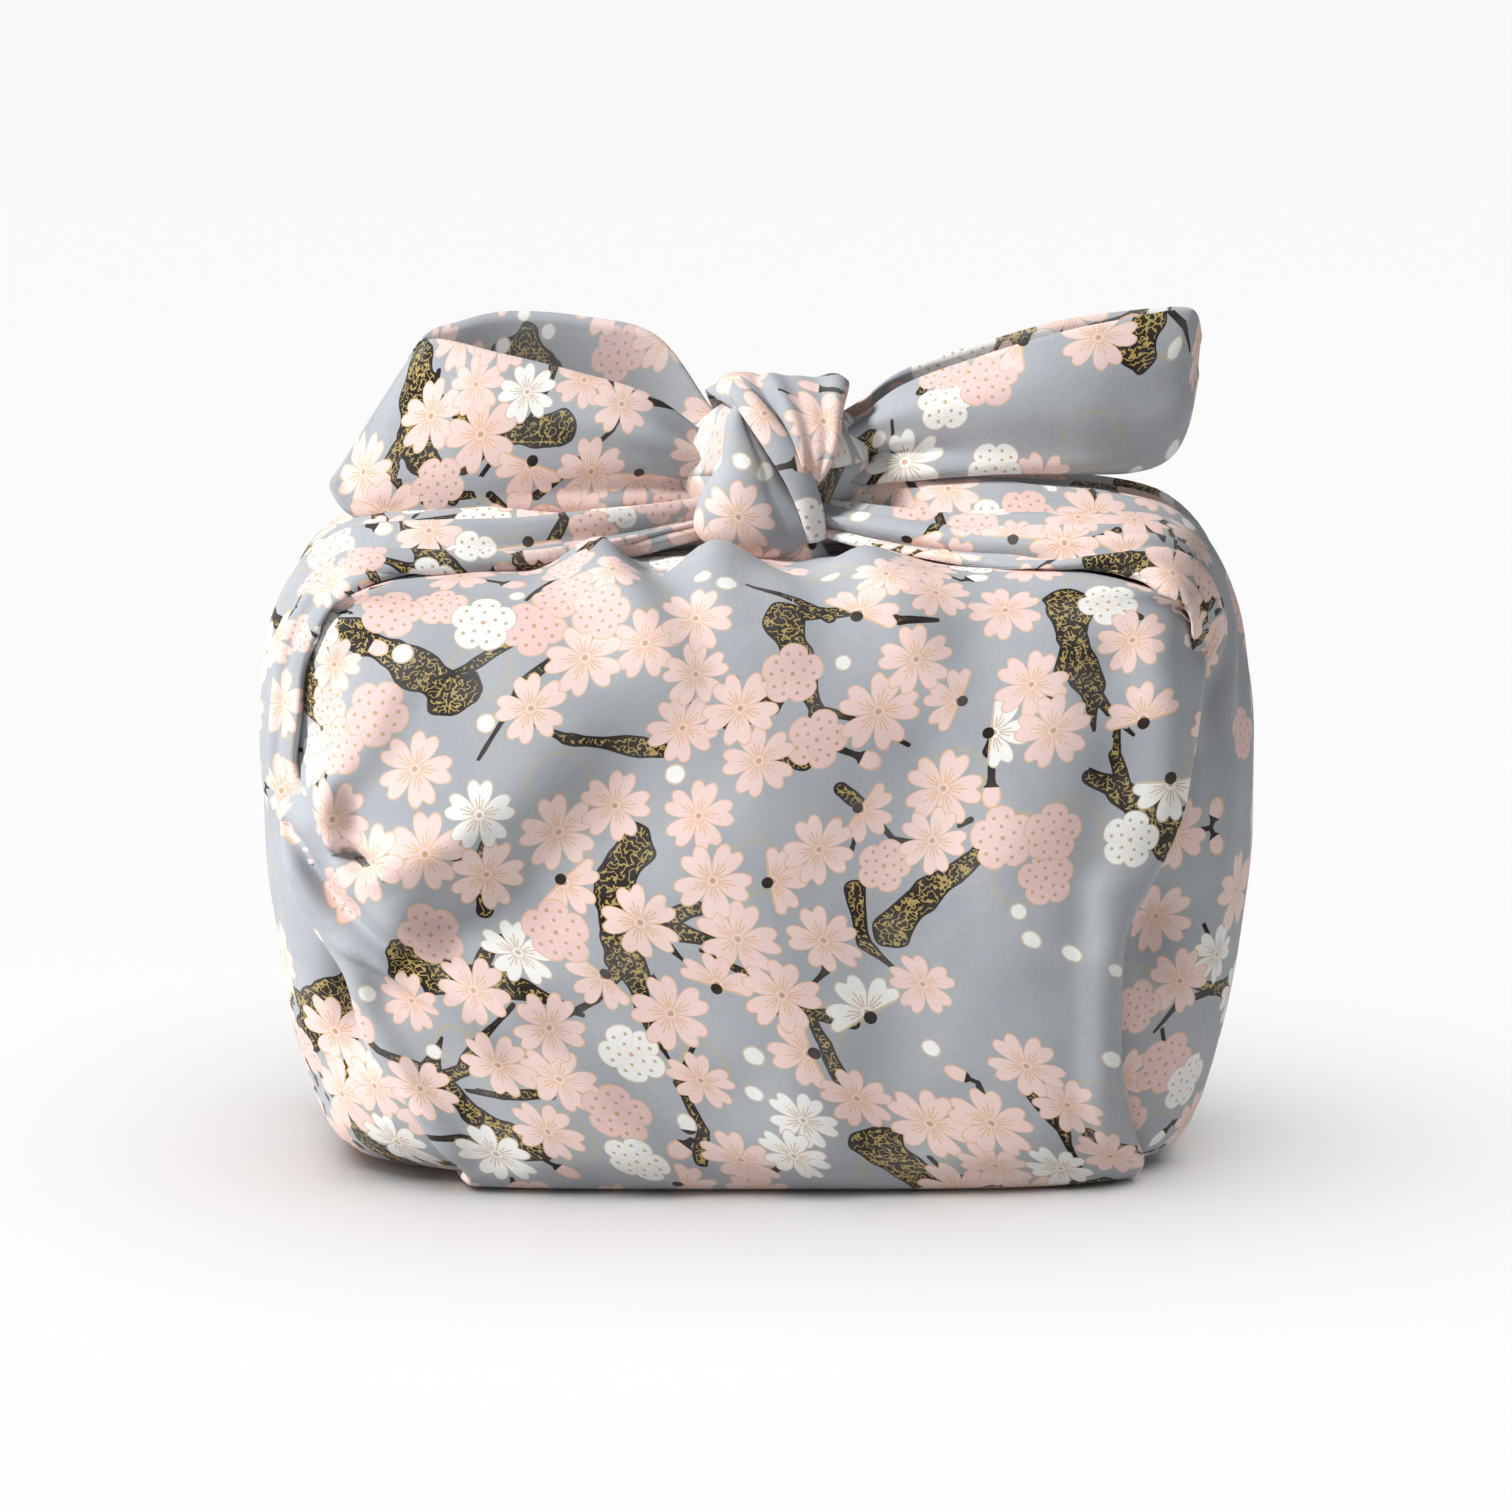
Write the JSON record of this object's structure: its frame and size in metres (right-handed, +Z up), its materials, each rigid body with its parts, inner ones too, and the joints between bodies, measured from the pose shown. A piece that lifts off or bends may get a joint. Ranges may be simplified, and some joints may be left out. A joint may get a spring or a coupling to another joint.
{
  "type": "furoshiki bag",
  "caption": "Square cotton wrapping cloth folded round a box-like load and tied over the top in a square knot with two ears.",
  "frame": {"origin": "centre of the bounding box at the flat underside", "axes": "+X to the bag's right, seen from its front; front faces -Y; +Z up through the knot"},
  "size_m": [0.2146, 0.1247, 0.183],
  "materials": {
    "cotton": "printed plain-weave cotton, matt"
  },
  "bodies": {
    "root": {"furoshiki": "cotton"}
  },
  "joints": []
}
